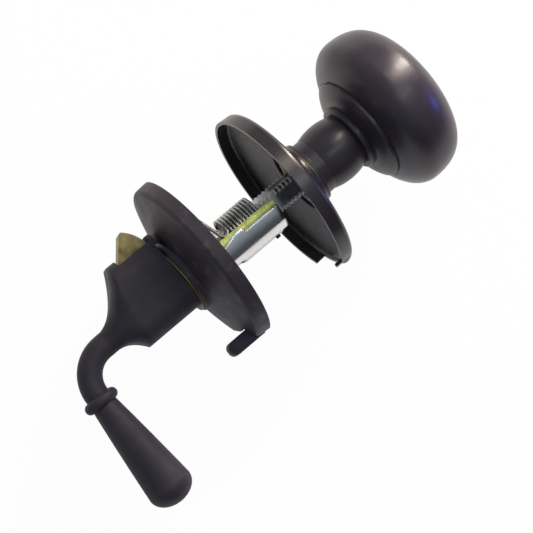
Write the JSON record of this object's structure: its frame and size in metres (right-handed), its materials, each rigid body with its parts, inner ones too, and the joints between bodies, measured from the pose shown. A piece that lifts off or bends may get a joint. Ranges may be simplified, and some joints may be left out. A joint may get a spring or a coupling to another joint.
{
  "type": "storm door handle set",
  "caption": "Storm door handle set in dark bronze: curved inside lever with brass latch bolt and lock tab, roses, sprung spindle and outside knob",
  "frame": {"origin": "On the spindle's axis, in the plane of the inside rose's rim, which rests on the inside face of the door", "axes": "+Y runs along the spindle from the lever to the knob, +X is the way the lever's grip points, +Z faces up from the door's edge side"},
  "size_m": [0.0783, 0.1456, 0.057],
  "materials": {
    "lever_bronze": "satin",
    "dark_bronze": "satin",
    "brass": "satin",
    "steel": "satin",
    "black_steel": "satin",
    "chrome": "polished"
  },
  "bodies": {
    "door_plates": {"inside_rose": "dark_bronze", "outside_rose": "dark_bronze", "return_spring": "steel"},
    "handle": {"lever": "lever_bronze", "lever_set_screw": "black_steel", "hub_washer": "brass", "thrust_washer": "steel", "spindle_core": "brass", "half_sleeve": "chrome", "sleeve_pin": "black_steel", "inside_retaining_ring": "steel", "spindle": "steel", "outside_washer": "brass", "outside_retaining_ring": "steel", "knob_shank": "dark_bronze", "knob_shell": "dark_bronze", "knob_set_screw": "black_steel", "bolt_pin": "black_steel", "bolt_spring": "steel"},
    "bolt": {"latch_bolt": "brass"},
    "lock": {"lock_lever": "lever_bronze"}
  },
  "joints": [
    {"name": "lever_turn", "type": "hinge", "parent": "door_plates", "child": "handle", "pos_m": [0, 0, 0], "axis": [0, 1, 0], "range_deg": [-45, 45], "stiffness_Nm_per_rad": 1.5, "deforming": ["return_spring"]},
    {"name": "bolt_slide", "type": "slide", "parent": "handle", "child": "bolt", "axis": [1, 0, 0], "range_m": [0, 0.0045], "stiffness_N_per_m": 300, "springref_m": -0.004, "deforming": ["bolt_spring"]},
    {"name": "lock_turn", "type": "hinge", "parent": "door_plates", "child": "lock", "pos_m": [0, 0, 0], "axis": [0, 1, 0], "range_deg": [0, 27]}
  ]
}
